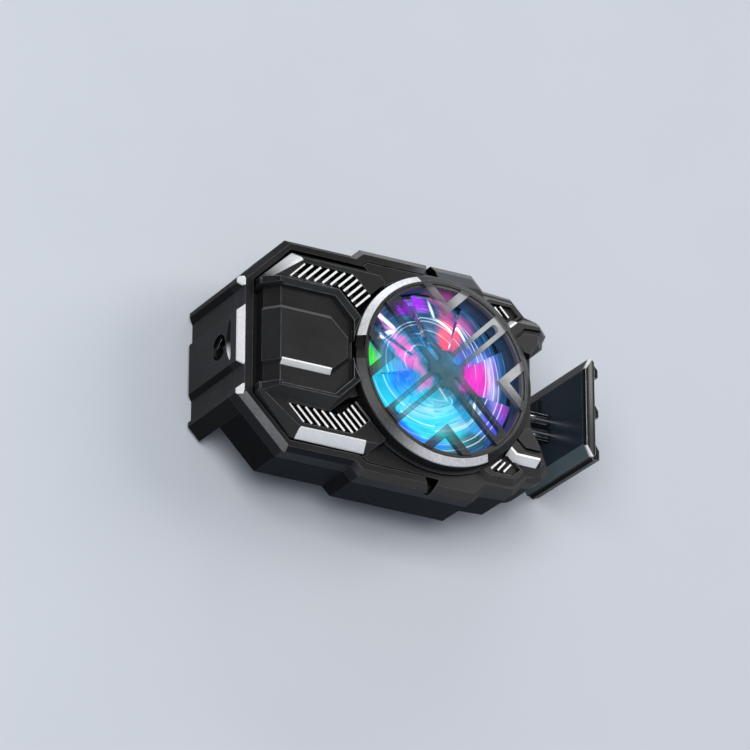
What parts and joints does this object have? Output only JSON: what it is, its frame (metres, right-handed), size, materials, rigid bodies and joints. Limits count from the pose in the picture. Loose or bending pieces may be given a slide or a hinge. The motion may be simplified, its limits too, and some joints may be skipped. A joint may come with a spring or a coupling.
{
  "type": "phone cooling fan",
  "caption": "Clamp-on phone cooler: angular black body with a lit fan behind a slotted guard, a fixed jaw with a round power inlet and a sprung sliding jaw.",
  "frame": {"origin": "on the fan's axis, in the plane of the pad that rests on the phone's back", "axes": "+Z out of the fan, away from the phone; +X from the fixed jaw towards the sliding jaw; +Y across the clamp, up in the picture"},
  "size_m": [0.0798, 0.0482, 0.0268],
  "materials": {
    "housing_plastic": "fine grain, matt",
    "cover_plastic": "fine grain, satin",
    "panel_plastic": "fine grain, satin",
    "guard_plastic": "smooth, satin",
    "bezel_plastic": "smooth, half gloss",
    "jaw_plastic": "smooth, half gloss",
    "inlet_plastic": "matt",
    "chip_plastic": "matt",
    "bright_trim": "satin chrome",
    "grey_trim": "dark satin chrome",
    "pad_rubber": "matt",
    "thermal_rubber": "matt",
    "bearing_bronze": "plain",
    "core_steel": "plain",
    "coil_copper": "enamelled",
    "magnet": "sintered",
    "circuit_board": "solder mask",
    "lamp": "clear top",
    "light_guide": "frosted",
    "plain_aluminium": "milled",
    "white_ceramic": "fired",
    "polished_steel": "polished",
    "screw_steel": "blackened",
    "spring_steel": "drawn wire",
    "rotor_plastic": "translucent, lit from below"
  },
  "bodies": {
    "housing": {"rear_housing": "housing_plastic", "front_cover": "cover_plastic", "fixed_jaw": "cover_plastic", "fixed_jaw_pad": "pad_rubber", "left_panel": "panel_plastic", "hexagon_plate": "panel_plastic", "hexagon_trim": "bright_trim", "corner_trim": "bright_trim", "panel_lower_trim": "bright_trim", "edge_trims": "bright_trim", "slope_trim": "grey_trim", "upper_grille": "bright_trim", "lower_grille": "bright_trim", "shoulder_slats": "grey_trim", "fan_bezel": "bezel_plastic", "bezel_arcs": "bright_trim", "fan_guard": "guard_plastic", "upper_ear": "cover_plastic", "lower_ear": "cover_plastic", "ear_trims": "bright_trim", "fan_frame": "housing_plastic", "bearing_sleeve": "bearing_bronze", "motor_stator": "core_steel", "motor_coils": "coil_copper", "led_board": "circuit_board", "led_chips": "lamp", "light_guide_ring": "light_guide", "thermal_pad": "thermal_rubber", "cold_plate": "plain_aluminium", "cooling_element": "white_ceramic", "element_gasket": "pad_rubber", "heatsink": "plain_aluminium", "control_board": "circuit_board", "board_components": "chip_plastic", "power_inlet": "inlet_plastic", "inlet_contacts": "polished_steel", "housing_screws": "screw_steel", "return_springs": "spring_steel"},
    "rotor": {"fan_rotor": "rotor_plastic", "rotor_shaft": "polished_steel", "rotor_magnet": "magnet"},
    "jaw": {"moving_jaw": "jaw_plastic", "moving_jaw_pad": "pad_rubber", "slide_arm": "jaw_plastic", "slide_rods": "polished_steel"}
  },
  "joints": [
    {"name": "fan_spin", "type": "hinge", "parent": "housing", "child": "rotor", "pos_m": [0, 0, 0.0125], "axis": [0, 0, 1], "continuous": true},
    {"name": "jaw_slide", "type": "slide", "parent": "housing", "child": "jaw", "axis": [1, 0, 0], "range_m": [-0.0048, 0.0068], "stiffness_N_per_m": 600, "springref_m": -0.0048, "deforming": ["return_springs"]}
  ]
}
